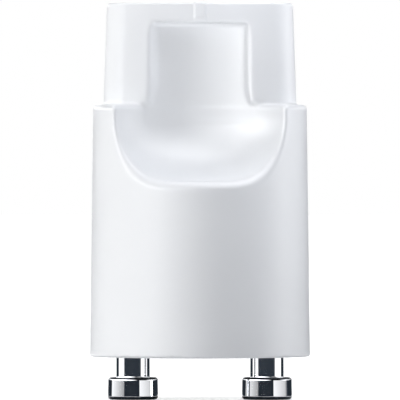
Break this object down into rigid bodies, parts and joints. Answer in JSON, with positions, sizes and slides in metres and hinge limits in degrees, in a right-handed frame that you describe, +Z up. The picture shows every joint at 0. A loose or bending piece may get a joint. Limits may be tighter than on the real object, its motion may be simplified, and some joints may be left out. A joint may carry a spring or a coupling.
{
  "type": "led tube starter",
  "caption": "White moulded starter plug with a finger grip, thumb scoops on both faces and two T-headed contact pins.",
  "frame": {"origin": "on the axis of the round body, level with the flat ends of the two contact pins", "axes": "+Z up along the body's axis towards the finger grip; +X along the line of the two pins; -Y out of the front thumb scoop"},
  "size_m": [0.0208, 0.0208, 0.0377],
  "materials": {
    "white_polycarbonate": "semi-gloss moulded white polycarbonate",
    "plate_plastic": "matt moulded off-white plastic",
    "nickel_plate": "bright nickel plating on turned brass",
    "tinned_brass": "dull tin plating on stamped brass",
    "fuse_glass": "clear drawn glass",
    "fuse_cap_metal": "nickel plated, drawn",
    "tinned_copper": "tinned wire",
    "solder": "frosted bright solder"
  },
  "bodies": {
    "root": {"housing": "white_polycarbonate", "base_plate": "plate_plastic", "contact_pin_left": "nickel_plate", "contact_pin_right": "nickel_plate", "solder_tag_left": "tinned_brass", "solder_tag_right": "tinned_brass", "fuse_glass_tube": "fuse_glass", "fuse_wire": "tinned_copper", "fuse_cap_left": "fuse_cap_metal", "fuse_cap_right": "fuse_cap_metal", "fuse_cap_solder_left": "solder", "fuse_cap_solder_right": "solder", "fuse_lead_left": "tinned_copper", "fuse_lead_right": "tinned_copper", "lead_solder_left": "solder", "lead_solder_right": "solder"}
  },
  "joints": []
}
